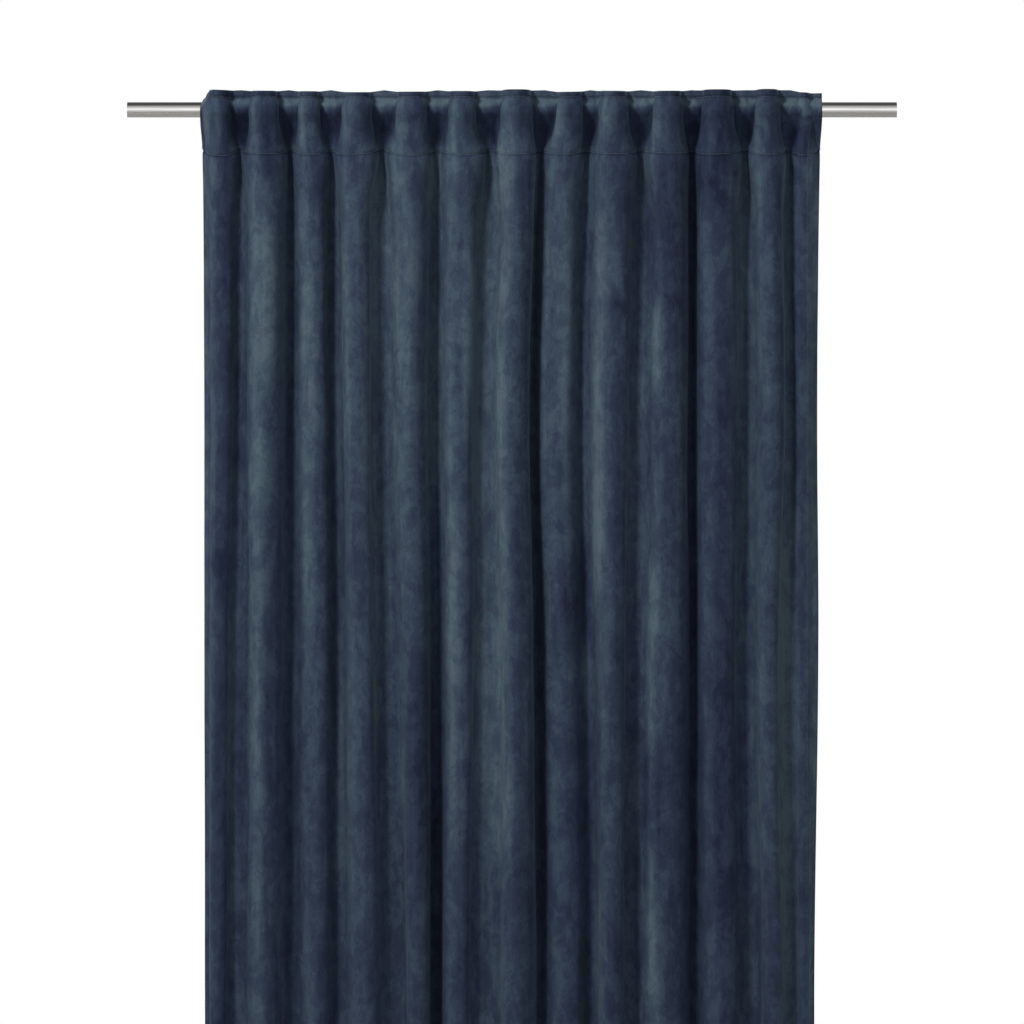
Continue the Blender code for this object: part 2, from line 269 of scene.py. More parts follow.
NAP_AND_SHADE_PATCHES = tuple(NapAndShadePatch(*numbers) for numbers in (
    # Painted light on crests and painted shade down hollows, among patches where the pile lies
    # another way
    (-412, -655, 26, 34, -0.20),
    (-414, -500, 15, 1400, -0.16),
    (214, -170, 34, 100, -0.26),
    (330, -60, 130, 140, -0.08),
    (-352, -50, 28, 60, -0.24),
    (-360, -740, 11, 600, 0.28),
    (-384, -700, 10, 560, -0.18),
    (-404, -820, 10, 360, 0.22),
    (-84, -770, 9, 300, 0.26),
    (-215, -400, 20, 260, 0.14),
    (-438, -700, 8, 700, 0.20),
    (144, -281, 20, 12, -0.22),
    (234, -272, 10, 16, -0.30),
    (206, -340, 9, 50, 0.34),
    (206, -475, 12, 60, -0.18),
    (121, -620, 10, 150, 0.26),
    (204, -700, 9, 55, 0.24),
    (-158, -260, 16, 150, 0.12),
    (-60, -300, 18, 160, 0.22),
    (-7, -420, 12, 260, 0.12),
    (-20, -880, 22, 200, 0.25),
    (-10, -1010, 18, 70, 0.16),
    (-157, -960, 7, 110, 0.22),
    (-52, -830, 13, 190, 0.18),
    (-197, -720, 12, 170, 0.16),
    (296, -700, 34, 600, -0.18),
    (358, -480, 20, 300, -0.10),
    (366, -480, 9, 60, -0.18),
    (76, -300, 16, 200, 0.18),
    (90, -700, 26, 80, -0.30),
    (102, -790, 8, 60, 0.30),
    (-225, -620, 24, 110, -0.14),
    (-345, -260, 14, 110, 0.25),
    (-290, -420, 10, 300, 0.22),
    (-130, -960, 18, 160, -0.25),
    (200, -985, 15, 90, -0.34),
    (172, -985, 13, 60, 0.20),
    (125, -1215, 7, 100, 0.26),
    (202, -1215, 13, 110, 0.22),
    (145, -1215, 10, 100, -0.20),
    (362, -1215, 12, 110, -0.20),
    (-240, -1010, 22, 180, 0.15),
    (-10, -90, 12, 60, 0.20),
    (-290, -88, 18, 42, -0.14),
    (-235, -88, 18, 38, -0.12),
    (140, -65, 18, 46, -0.14),
    # The eleventh fold, with its creases, and the hollow on its right
    (282, -60, 26, 90, -0.34),
    (321, -230, 13, 190, 0.18),
    # Painted light that pales these hollows
    (-197, -330, 11, 220, 0.12),
    (-115, -420, 11, 170, 0.16),
    (-54, -450, 13, 190, 0.20),
    (323, -600, 13, 300, 0.16),
    # Painted shade on some of the hollows and lumps in the heading and painted light on others
    (-387, -18, 20, 44, -0.26),
    (-362, 24, 42, 8, -0.22),
    (112, 8, 14, 11, -0.20),
    (257, -34, 13, 28, 0.14),
    (332, -34, 13, 28, 0.14),
    (398, -34, 10, 28, 0.12),
    # The right edge's flap over the rod, painted light on its top and painted shade under it, and
    # the flat cloth under it
    (420, 4, 16, 15, 0.20),
    (412, -44, 20, 22, -0.22),
    (409, -700, 7, 700, -0.18),
    (426, -700, 8, 800, 0.22),
    (392, -960, 18, 420, 0.26),
))


def smooth_table(table: Table, drop: float) -> float:
    """Read a two-column table on a smooth curve that never overshoots its values.

    Args:
        table: pairs of a drop and a value, in millimetres.
        drop: the drop to read it at, in metres.

    Returns:
        The value there.
    """
    heights, values = np.array(table, dtype=float).T
    heights = heights * MM
    climbs = np.diff(values) / np.diff(heights)
    level = climbs[1:] * climbs[:-1] <= 0
    together = np.where(level, 1.0, climbs[1:] + climbs[:-1])
    slopes = np.zeros(len(values))
    slopes[1:-1] = np.where(level, 0.0, 2 * climbs[1:] * climbs[:-1] / together)
    place = min(max(int(np.searchsorted(heights, drop)) - 1, 0), len(heights) - 2)
    span = heights[place + 1] - heights[place]
    t = min(max((drop - heights[place]) / span, 0.0), 1.0)
    ease = t * t * (3 - 2 * t)
    start = t * (1 - t) ** 2 * span * slopes[place]
    end = t * t * (1 - t) * span * slopes[place + 1]
    return float(values[place] * (1 - ease) + values[place + 1] * ease + start - end)


def srgb(code: str) -> tuple[float, float, float, float]:
    """Turn an sRGB hex colour to linear.

    Args:
        code: the colour, such as "#33404f".

    Returns:
        Its linear red, green, blue and alpha.
    """
    shares = (int(code[i:i + 2], 16) / 255 for i in (1, 3, 5))
    linear = (s / 12.92 if s <= 0.04045 else ((s + 0.055) / 1.055) ** 2.4 for s in shares)
    return (*linear, 1.0)


def fill_inputs(tree: bpy.types.NodeTree, node: bpy.types.Node, inputs: dict) -> None:
    """Link or set a node's inputs.

    Args:
        tree: the node tree.
        node: the node.
        inputs: what goes into it by input name or number, a socket or a value.
    """
    for key, value in inputs.items():
        if isinstance(value, Socket):
            tree.links.new(value, node.inputs[key])
        else:
            node.inputs[key].default_value = value


def add_node(tree: bpy.types.NodeTree, kind: str, inputs: dict | None = None,
             **settings) -> bpy.types.Node:
    """Add a node to a tree.

    Args:
        tree: the node tree.
        kind: the node's type.
        inputs: what goes into it by input name or number, a socket or a value.
        settings: the node's own settings.

    Returns:
        The node.
    """
    node = tree.nodes.new(kind)
    for name, value in settings.items():
        setattr(node, name, value)
    fill_inputs(tree, node, inputs or {})
    return node


def set_ramp(node: bpy.types.Node, stops: tuple[tuple[float, tuple], ...]) -> None:
    """Give a colour ramp its stops.

    Args:
        node: the colour ramp node.
        stops: pairs of a place from 0 to 1 and a linear colour.
    """
    ramp = node.color_ramp
    while len(ramp.elements) < len(stops):
        ramp.elements.new(1.0)
    for element, (place, colour) in zip(ramp.elements, stops):
        element.position = place
        element.color = colour


def bare_material(name: str, plain_colour: str) -> tuple[
        bpy.types.Material, bpy.types.NodeTree, bpy.types.Node]:
    """Start a material with a Principled shader.

    Args:
        name: the material's name.
        plain_colour: its colour where it is shown plain, as sRGB hex.

    Returns:
        The material, its node tree and its shader.
    """
    material = bpy.data.materials.new(name)
    material.use_nodes = True
    material.diffuse_color = srgb(plain_colour)
    return material, material.node_tree, material.node_tree.nodes["Principled BSDF"]


def flat_cloth(tree: bpy.types.NodeTree) -> Socket:
    """Places on the velvet's flat cut.

    Args:
        tree: the node tree.

    Returns:
        Their coordinates, in metres from its lower left corner.
    """
    uv = add_node(tree, "ShaderNodeUVMap", uv_map="cloth")
    return add_node(tree, "ShaderNodeMapping", {
        "Vector": uv.outputs["UV"], "Scale": (FLAT_WIDTH, FLAT_LENGTH, 1.0)}).outputs[0]


def noise_value(tree: bpy.types.NodeTree, vector: Socket,
                feature: tuple[float, float, float], detail: float = 3.0,
                roughness: float = 0.55, distortion: float = 0.0) -> Socket:
    """Noise whose features have a real size.

    Args:
        tree: the node tree.
        vector: coordinates in metres.
        feature: the size of a feature along each axis, in metres.
        detail: how many finer layers it has.
        roughness: how strong those are.
        distortion: how far it is swirled.

    Returns:
        The noise's value, about 0.5.
    """
    scaled = add_node(tree, "ShaderNodeMapping", {
        "Vector": vector, "Scale": tuple(1 / size for size in feature)})
    made = add_node(tree, "ShaderNodeTexNoise", {
        "Vector": scaled.outputs["Vector"], "Scale": 1.0, "Detail": detail,
        "Roughness": roughness, "Distortion": distortion})
    return made.outputs["Fac"]


def blend_value(tree: bpy.types.NodeTree, parts: tuple[tuple[Socket, float], ...],
                start: float) -> Socket:
    """Add weighted values to a starting one.

    Args:
        tree: the node tree.
        parts: pairs of a value and its weight.
        start: what they are added to.

    Returns:
        The sum.
    """
    total: Socket | float = start
    for value, weight in parts:
        total = add_node(tree, "ShaderNodeMath", {0: value, 1: weight, 2: total},
                         operation="MULTIPLY_ADD").outputs[0]
    return total


@dataclass(frozen=True)
class Velvet:
    """Cotton velvet, woven with a short cut pile that is brushed by hand as it hangs. It is
    darkest looked at square on and pales where it turns away, and its pile lies in patches.
    Painted light and shade, kept at each point, darken it in its hollows, pockets and seams
    and pale it on its lumps and on the folds' lit sides."""

    name: str = "cotton_velvet"
    slot: str = "velvet"
    # The pile's colours from darkest to palest; the darkest are reached mostly where painted
    # shade darkens it
    deep: str = "#0c111e"
    dark: str = "#1b2235"
    middle: str = "#2a3447"
    light: str = "#394656"
    pale: str = "#4a5a66"
    sheen_tint: str = "#8fa3b4"
    sheen: float = 0.12
    middle_tone: float = 0.65
    # How much the patches, the streaks, the mottle, the crushed spots, the tufts and the
    # nap kept at each point, with its painted light and shade, do
    weights: tuple[float, ...] = (0.13, 0.28, 0.24, 0.11, 0.26, 0.8)

    def material(self) -> bpy.types.Material:
        """Make the material.

        Returns:
            The material.
        """
        material, tree, shader = bare_material(self.name, self.middle)
        cloth = flat_cloth(tree)
        # Brushing leaves patches two fingers wide and a hand long, streaks a finger wide and
        # longer than a hand, and mottle and crushed spots of a fingertip's size.
        drift = noise_value(tree, cloth, (0.026, 0.100, 1.0), 5.0, 0.66, 0.20)
        patches = add_node(tree, "ShaderNodeMapRange", {
            0: drift, 1: 0.38, 2: 0.62, 3: 0.0, 4: 1.0},
            interpolation_type="SMOOTHSTEP").outputs[0]
        streaks = noise_value(tree, cloth, (0.012, 0.260, 1.0), 4.0, 0.6)
        mottle = noise_value(tree, cloth, (0.012, 0.018, 1.0), 4.0, 0.65, 0.5)
        crush = noise_value(tree, cloth, (0.020, 0.030, 1.0), 6.0, 0.66, 0.6)
        crushed = add_node(tree, "ShaderNodeMapRange", {
            0: crush, 1: 0.44, 2: 0.56, 3: 0.0, 4: 1.0},
            interpolation_type="SMOOTHSTEP").outputs[0]
        # The pile is a tenth of a millimetre thick and drawn as tufts of a few millimetres.
        tufts = noise_value(tree, cloth, (0.0026, 0.0060, 1.0), 3.0, 0.7)
        # The nap kept at each point, with painted shade in the hollows, pockets and seams and
        # painted light on the lumps and the folds' lit sides
        tone = add_node(tree, "ShaderNodeAttribute", attribute_name="pile_tone").outputs["Fac"]
        pile = blend_value(
            tree, tuple(zip((patches, streaks, mottle, crushed, tufts, tone), self.weights)),
            self.middle_tone - 0.5 * sum(self.weights[:-1]))
        colour = add_node(tree, "ShaderNodeValToRGB", {"Fac": pile})
        set_ramp(colour, ((0.0, srgb(self.deep)), (0.3, srgb(self.dark)),
                          (0.55, srgb(self.middle)), (0.78, srgb(self.light)),
                          (1.0, srgb(self.pale))))
        height = blend_value(tree, ((tufts, 0.6), (streaks, 0.8)), 0.0)
        bump = add_node(tree, "ShaderNodeBump", {
            "Strength": 0.5, "Distance": 0.0012, "Height": height})
        fill_inputs(tree, shader, {
            "Base Color": colour.outputs["Color"], "Normal": bump.outputs["Normal"],
            "Roughness": 0.95, "Specular IOR Level": 0.15, "Sheen Weight": self.sheen,
            "Sheen Roughness": 0.4, "Sheen Tint": srgb(self.sheen_tint)})
        return material


@dataclass(frozen=True)
class WovenBack:
    """The back of the velvet, a tight plain weave without pile, so it is flat and even."""

    name: str = "velvet_woven_back"
    thread: str = "#2a3444"
    gap: str = "#1c2433"

    def material(self) -> bpy.types.Material:
        """Make the material.

        Returns:
            The material.
        """
        material, tree, shader = bare_material(self.name, self.thread)
        cloth = flat_cloth(tree)
        # Threads stand 0.6 mm apart, drawn 2.4 mm apart so that they show.
        warp = noise_value(tree, cloth, (0.0024, 0.050, 1.0), 2.0)
        weft = noise_value(tree, cloth, (0.050, 0.0024, 1.0), 2.0)
        weave = blend_value(tree, ((warp, 0.9), (weft, 0.9)), -0.4)
        colour = add_node(tree, "ShaderNodeValToRGB", {"Fac": weave})
        set_ramp(colour, ((0.2, srgb(self.gap)), (0.8, srgb(self.thread))))
        bump = add_node(tree, "ShaderNodeBump", {
            "Strength": 0.4, "Distance": 0.0006, "Height": weave})
        fill_inputs(tree, shader, {
            "Base Color": colour.outputs["Color"], "Normal": bump.outputs["Normal"],
            "Roughness": 0.9, "Specular IOR Level": 0.2})
        return material


@dataclass(frozen=True)
class WovenTape:
    """Polyester twill tape, 30 mm wide, close woven, with a faint slanting rib."""

    name: str = "twill_tape"
    slot: str = "tab_cloth"
    thread: str = "#2c3547"
    gap: str = "#171d2b"
    rib_scale: float = 98.17

    def material(self) -> bpy.types.Material:
        """Make the material.

        Returns:
            The material.
        """
        material, tree, shader = bare_material(self.name, self.thread)
        place = add_node(tree, "ShaderNodeTexCoord").outputs["Object"]
        # The rib is 0.7 mm wide, drawn 2.3 mm wide so that it shows.
        ribs = add_node(tree, "ShaderNodeTexWave", {
            "Vector": place, "Scale": self.rib_scale, "Distortion": 0.6, "Detail": 2.0,
            "Detail Scale": 3.0}, bands_direction="DIAGONAL")
        fibres = noise_value(tree, place, (0.002, 0.004, 0.004), 3.0, 0.6)
        weave = blend_value(tree, ((ribs.outputs["Fac"], 0.6), (fibres, 0.6)), -0.1)
        colour = add_node(tree, "ShaderNodeValToRGB", {"Fac": weave})
        set_ramp(colour, ((0.1, srgb(self.gap)), (0.9, srgb(self.thread))))
        bump = add_node(tree, "ShaderNodeBump", {
            "Strength": 0.5, "Distance": 0.0005, "Height": weave})
        fill_inputs(tree, shader, {
            "Base Color": colour.outputs["Color"], "Normal": bump.outputs["Normal"],
            "Roughness": 0.85})
        return material


@dataclass(frozen=True)
class SewingThread:
    """Polyester sewing thread, dyed to the cloth, with a slight twist and a soft shine."""

    name: str = "sewing_thread"
    slot: str = "velvet"
    lit: str = "#66747f"
    dark: str = "#3c4654"

    def material(self) -> bpy.types.Material:
        """Make the material.

        Returns:
            The material.
        """
        material, tree, shader = bare_material(self.name, self.lit)
        place = add_node(tree, "ShaderNodeTexCoord").outputs["Object"]
        twist = noise_value(tree, place, (0.0009, 0.0009, 0.0009), 2.0)
        colour = add_node(tree, "ShaderNodeValToRGB", {"Fac": twist})
        set_ramp(colour, ((0.3, srgb(self.dark)), (0.7, srgb(self.lit))))
        fill_inputs(tree, shader, {
            "Base Color": colour.outputs["Color"], "Roughness": 0.55})
        return material


@dataclass(frozen=True)
class BrushedSteel:
    """Stainless steel tube, ground along its length, so that its shine runs in fine lines and
    spreads a little round the tube."""

    name: str = "brushed_stainless_steel"
    slot: str = "rod_steel"
    bright: str = "#b0afac"
    dull: str = "#949391"

    def material(self) -> bpy.types.Material:
        """Make the material.

        Returns:
            The material.
        """
        material, tree, shader = bare_material(self.name, self.bright)
        place = add_node(tree, "ShaderNodeTexCoord").outputs["Object"]
        # Grinding lines are 0.05 mm wide and drawn 0.5 mm wide, each a hand long.
        lines = noise_value(tree, place, (0.080, 0.0005, 0.0005), 3.0, 0.6)
        smears = noise_value(tree, place, (0.120, 0.010, 0.010), 2.0)
        colour = add_node(tree, "ShaderNodeValToRGB", {"Fac": lines})
        set_ramp(colour, ((0.35, srgb(self.dull)), (0.65, srgb(self.bright))))
        gloss = blend_value(tree, ((lines, 0.10), (smears, 0.08)), 0.08)
        bump = add_node(tree, "ShaderNodeBump", {
            "Strength": 0.12, "Distance": 0.0002, "Height": lines})
        fill_inputs(tree, shader, {
            "Base Color": colour.outputs["Color"], "Normal": bump.outputs["Normal"],
            "Roughness": gloss, "Metallic": 1.0})
        return material


@dataclass(frozen=True)
class EndPlug:
    """Moulded grey nylon plug that closes the tube's end, matt and slightly pitted."""

    name: str = "nylon_end_plug"
    slot: str = "rod_steel"
    colour: str = "#8d8f90"

    def material(self) -> bpy.types.Material:
        """Make the material.

        Returns:
            The material.
        """
        material, tree, shader = bare_material(self.name, self.colour)
        place = add_node(tree, "ShaderNodeTexCoord").outputs["Object"]
        grain = noise_value(tree, place, (0.0008, 0.0008, 0.0008), 2.0)
        bump = add_node(tree, "ShaderNodeBump", {
            "Strength": 0.15, "Distance": 0.0002, "Height": grain})
        gloss = blend_value(tree, ((grain, 0.15),), 0.42)
        fill_inputs(tree, shader, {
            "Base Color": srgb(self.colour), "Normal": bump.outputs["Normal"],
            "Roughness": gloss})
        return material


@dataclass(frozen=True)
class PaintedFloor:
    """Pale matt studio floor with a faint mottle."""

    name: str = "studio_floor"
    light: str = "#dededb"
    dark: str = "#d6d6d3"

    def material(self) -> bpy.types.Material:
        """Make the material.

        Returns:
            The material.
        """
        material, tree, shader = bare_material(self.name, self.light)
        place = add_node(tree, "ShaderNodeTexCoord").outputs["Object"]
        mottle = noise_value(tree, place, (0.4, 0.4, 0.4), 3.0)
        colour = add_node(tree, "ShaderNodeValToRGB", {"Fac": mottle})
        set_ramp(colour, ((0.3, srgb(self.dark)), (0.7, srgb(self.light))))
        fill_inputs(tree, shader, {
            "Base Color": colour.outputs["Color"], "Roughness": 0.8})
        return material


def deselect_all() -> None:
    """Deselect every object."""
    for item in bpy.context.selected_objects:
        item.select_set(False)


def select_only(piece: bpy.types.Object) -> None:
    """Select one piece, make it active and deselect the rest.

    Args:
        piece: the piece.
    """
    deselect_all()
    piece.select_set(True)
    bpy.context.view_layer.objects.active = piece


def settle(piece: bpy.types.Object) -> None:
    """Put a piece's place, turn and scale into its mesh."""
    select_only(piece)
    bpy.ops.object.transform_apply(location=True, rotation=True, scale=True)


def add_object(name: str, data: bpy.types.ID) -> bpy.types.Object:
    """Put a mesh, a light or a camera in the scene as a new object.

    Args:
        name: the object's name.
        data: the mesh, the light or the camera.

    Returns:
        The object.
    """
    made = bpy.data.objects.new(name, data)
    bpy.context.scene.collection.objects.link(made)
    return made


def add_piece(name: str, points: list, faces: list) -> bpy.types.Object:
    """Put a new mesh in the scene.

    Args:
        name: the piece's name.
        points: its points, in metres.
        faces: the numbers of each face's points.

    Returns:
        The piece.
    """
    mesh = bpy.data.meshes.new(name)
    mesh.from_pydata(points, [], faces)
    return add_object(name, mesh)


def grid_faces(rows: int, columns: int) -> list:
    """The faces of a sheet whose points stand in rows and columns.

    Args:
        rows: how many rows.
        columns: how many points in each.

    Returns:
        The numbers of each face's points.
    """
    index = np.arange(rows * columns).reshape(rows, columns)
    corners = (index[:-1, :-1], index[1:, :-1], index[1:, 1:], index[:-1, 1:])
    return np.stack(corners, axis=-1).reshape(-1, 4).tolist()


def thicken(piece: bpy.types.Object, thickness: float, back_material: int = 0) -> None:
    """Give an open sheet its thickness, half to each side.

    Args:
        piece: the sheet.
        thickness: in metres.
        back_material: how many slots later the back's material is.
    """
    solidify = piece.modifiers.new("Thickness", "SOLIDIFY")
    solidify.thickness = thickness
    solidify.offset = 0.0
    solidify.material_offset = back_material
    select_only(piece)
    bpy.ops.object.modifier_apply(modifier=solidify.name)


def outward_of(place: np.ndarray) -> np.ndarray:
    """The direction that the cloth's face looks to.

    Args:
        place: the cloth's points by row.

    Returns:
        The direction at each point.
    """
    outward = np.cross(np.gradient(place, axis=0), np.gradient(place, axis=1))
    outward /= np.linalg.norm(outward, axis=2, keepdims=True)
    return outward * -np.sign(outward[..., 1].mean())


@dataclass
class FoldPlan:
    """Where the cloth runs across the folds at each drop.

    The cloth's direction swings out and back on each side of a fold, which keeps its length.
    """

    steps: int = 22
    last_steps: int = 14
    crowding: float = 0.40
    tuck_power: float = 1.5
    tuck_takes: float = 1.5
    least_fullness: float = 1.03
    set_back_length: float = 0.200
    lower_stitch: float = 0.058
    # How far the left top corner is drawn in, how suddenly, and how far the right one hangs
    corner_pull: float = 0.014
    corner_pull_power: float = 1.7
    corner_drop: float = 0.0042
    top_edge: float = -0.028
    # How far down the top edge's own rise reaches
    rise_reach: float = 0.010
    # How unevenly the crests sag, and how quickly that changes along the cloth
    sag_unevenness: float = 0.5
    sag_waves: float = 11.0
    # The cloth's swing that fills a fold is looked for between these, in radians
    least_swing: float = 0.05
    most_swing: float = 2.4
    samples: int = 120
    halvings: int = 20

    def place(self, fold: Fold, drop: float) -> float:
        """Where a fold's left hollow stands along the rod at a drop, in metres."""
        columns = (fold.rod, fold.stitch, fold.upper, fold.middle, fold.lower)
        return smooth_table(tuple(zip(HOLLOW_DROPS, columns)), drop) * MM

    def roundness(self, fold: Fold, drop: float) -> float:
        """How round the cloth's turn is at a fold's left hollow.

        Args:
            fold: the fold.
            drop: the drop, in metres.

        Returns:
            A low value for a tight valley, and up to about 1 for a round one.
        """
        heading = smooth_table(HEADING_ROUNDNESS, drop)
        lower = smooth_table(HOLLOW_LOWER_SHARE, drop)
        own = fold.hollow_upper * (1 - lower) + fold.hollow_lower * lower
        takes_over = smooth_table(HOLLOW_TAKES_OVER, drop)
        return heading * (1 - takes_over) + own * takes_over

    def dark(self, fold: Fold, drop: float) -> float:
        """How dark the painted shade is in a fold's left hollow."""
        lower = smooth_table(HOLLOW_LOWER_SHARE, drop)
        return fold.painted_shade_upper * (1 - lower) + fold.painted_shade_lower * lower

    def shape(self, width: float, cloth: float, lean: float, roundness: tuple[float, float],
              flatness: float) -> tuple[np.ndarray, np.ndarray, np.ndarray]:
        """A fold of cloth between two hollows.

        Args:
            width: how far the hollows are apart, in metres.
            cloth: the width of the cloth between them, in metres.
            lean: how far its left side is turned under.
            roundness: how round it is at its left and right hollow.
            flatness: how flat its face is.

        Returns:
            Lengths along the cloth, and X and Y there.
        """
        along = (np.arange(self.samples) + 0.5) / self.samples
        swing_left = np.sin(math.pi * along ** roundness[0]) ** flatness * (1 + lean)
        swing_right = np.sin(math.pi * along ** roundness[1]) ** flatness * (1 - lean)
        low, high = self.least_swing, self.most_swing
        for _ in range(self.halvings):
            steepness = (low + high) / 2
            left, right = steepness * swing_left, steepness * swing_right
            rise_left, rise_right = np.sin(left).mean(), np.sin(right).mean()
            share = rise_right / (rise_left + rise_right)
            run = np.cos(left).mean() * share + np.cos(right).mean() * (1 - share)
            if run * cloth > width:
                low = steepness
            else:
                high = steepness
        direction = np.concatenate((-left, right[::-1]))
        step = np.repeat((share, 1 - share), self.samples) * cloth / self.samples
        lengths = np.concatenate(([0.0], np.cumsum(step)))
        x = np.concatenate(([0.0], np.cumsum(np.cos(direction) * step)))
        y = np.concatenate(([0.0], np.cumsum(np.sin(direction) * step)))
        return lengths, x * width / x[-1], y

    def shares(self, steps: int) -> np.ndarray:
        """Shares across a fold at which it has points, closer together at its hollows."""
        t = np.linspace(0.0, 1.0, steps + 1)
        return t - self.crowding * np.sin(2 * math.pi * t) / (2 * math.pi)

    def fold_points(self, fold: Fold, following: Fold, drop: float,
                    shares: np.ndarray) -> tuple[np.ndarray, ...]:
        """Points across one fold at a drop.

        Args:
            fold: the fold, with its left hollow.
            following: the fold after it, which has its right hollow.
            drop: the drop, in metres.
            shares: the shares across it at which points are wanted.

        Returns:
            X and Y of the points, how far each is in a hollow, from 0 to 1, and how far it is
            from the hollow's middle along the cloth, in metres.
        """
        left, right = self.place(fold, drop), self.place(following, drop)
        flat_share = smooth_table(HOLLOW_WIDTH, drop) * MM / 2
        flat_left, flat_right = flat_share * fold.flat, flat_share * following.flat
        tuck = smooth_table(HOLLOW_TUCK, drop) * MM
        width = right - left - flat_left - flat_right
        free = max(fold.cloth * MM - flat_left - flat_right - self.tuck_takes * tuck,
                   width * self.least_fullness)
        lean = fold.lean * smooth_table(LEAN, drop)
        roundness = (self.roundness(fold, drop), self.roundness(following, drop))
        flatness = smooth_table(FACE_FLATNESS, drop)
        lengths, x, y = self.shape(width, free, lean, roundness, flatness)
        across = free + flat_left + flat_right
        lengths = np.concatenate(([0.0], lengths + flat_left, [across]))
        x = np.concatenate(([0.0], x + flat_left, [right - left]))
        y = np.concatenate(([0.0], y, [0.0]))
        wanted = shares * across
        x, y = np.interp(wanted, lengths, x), np.interp(wanted, lengths, y)
        depth = np.clip(1 - y / y.min(), 0.0, 1.0)
        below = min(max((drop - self.lower_stitch) / self.set_back_length, 0.0), 1.0)
        set_back = fold.set_back + (following.set_back - fold.set_back) * shares
        y = y - smooth_table(CLOTH_LINE, drop) * MM + set_back * MM * below
        aside = np.minimum(wanted, across - wanted)
        return left + x, y + tuck * depth ** self.tuck_power, depth, aside

    def row(self, drop: float) -> np.ndarray:
        """Points across the whole panel at a drop.

        Args:
            drop: the drop, in metres.

        Returns:
            X, Y, Z, the distance across the flat cloth, how far the point is in a hollow, how
            dark its hollow's painted shade is, its place's painted light across the fold and how
            far it is from its hollow's middle, one line for each point.
        """
        made = []
        before = 0.0
        sag = smooth_table(CREST_SAG, drop) * MM
        for fold, following in zip(FOLDS, FOLDS[1:] + (RIGHT_EDGE,)):
            shares = self.shares(self.last_steps if following is RIGHT_EDGE else self.steps)
            x, y, in_hollow, aside = self.fold_points(fold, following, drop, shares)
            if fold is FOLDS[0] and drop < 0:
                pull = self.corner_pull * (drop / self.top_edge) ** self.corner_pull_power
                x = x + pull * (1 - shares) ** 2
            crest = np.sin(math.pi * shares)
            near_top = min(max(1 - (drop - self.top_edge) / self.rise_reach, 0.0), 1.0)
            across = before + fold.cloth * MM * shares
            before += fold.cloth * MM
            tilt = np.array([noise.noise(Vector((place * self.sag_waves, 0.0, 3.0)))
                             for place in across])
            z = -drop - sag * (crest + tilt * self.sag_unevenness)
            z = z + fold.rise * MM * crest * near_top
            if following is RIGHT_EDGE:
                z = z - self.corner_drop * near_top * shares**2
            # How dark the hollows' painted shade is
            dark = self.dark(fold, drop) * (1 - shares) + self.dark(following, drop) * shares
            # Painted light and shade across the fold
            face = np.array([smooth_table(FACE_PAINTED_LIGHT, float(share) * MM) for share in shares])
            face *= smooth_table(FACE_PAINTED_LIGHT_STRENGTH, drop)
            points = np.stack((x, y, z, across, in_hollow, dark, face, aside), axis=1)
            made.append(points if not made else points[1:])
        return np.concatenate(made)


